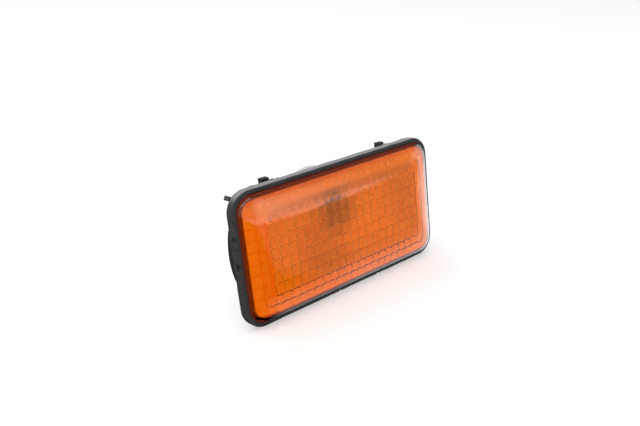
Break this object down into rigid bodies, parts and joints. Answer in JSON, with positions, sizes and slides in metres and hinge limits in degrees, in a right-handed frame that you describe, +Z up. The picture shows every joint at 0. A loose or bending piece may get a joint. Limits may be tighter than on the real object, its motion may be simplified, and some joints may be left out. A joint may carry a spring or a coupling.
{
  "type": "side repeater lamp",
  "caption": "Amber side repeater lamp for a vehicle: prismatic lens on a black housing with hooks, rubber gasket, twist-in bulb holder with a wedge-base bulb.",
  "frame": {"origin": "centre of the body-panel cut-out on the panel's outer face, where the gasket's rear face lies", "axes": "+X along the lamp's long side, to the right when seen from the front; +Y into the vehicle body, so the lens faces -Y; +Z up"},
  "size_m": [0.084, 0.041, 0.0434],
  "materials": {
    "gasket_rubber": "matt black rubber, worn and nicked at one end",
    "amber_lens": "clear amber plastic, polished outside, prisms inside",
    "black_plastic": "moulded, satin",
    "bright_tray": "plastic with a bright metallised face",
    "grey_plastic": "moulded, satin",
    "seal_rubber": "matt",
    "contact_brass": "stamped strip",
    "bulb_glass": "clear",
    "filament_metal": "coiled wire",
    "lead_metal": "drawn wire"
  },
  "bodies": {
    "root": {"gasket": "gasket_rubber", "lens": "amber_lens", "housing": "black_plastic", "reflector": "bright_tray", "bulb_holder": "grey_plastic", "holder_seal": "seal_rubber", "contact_left": "contact_brass", "contact_right": "contact_brass", "bulb_glass": "bulb_glass", "bulb_filament": "filament_metal", "bulb_lead_left": "lead_metal", "bulb_lead_right": "lead_metal"}
  },
  "joints": []
}
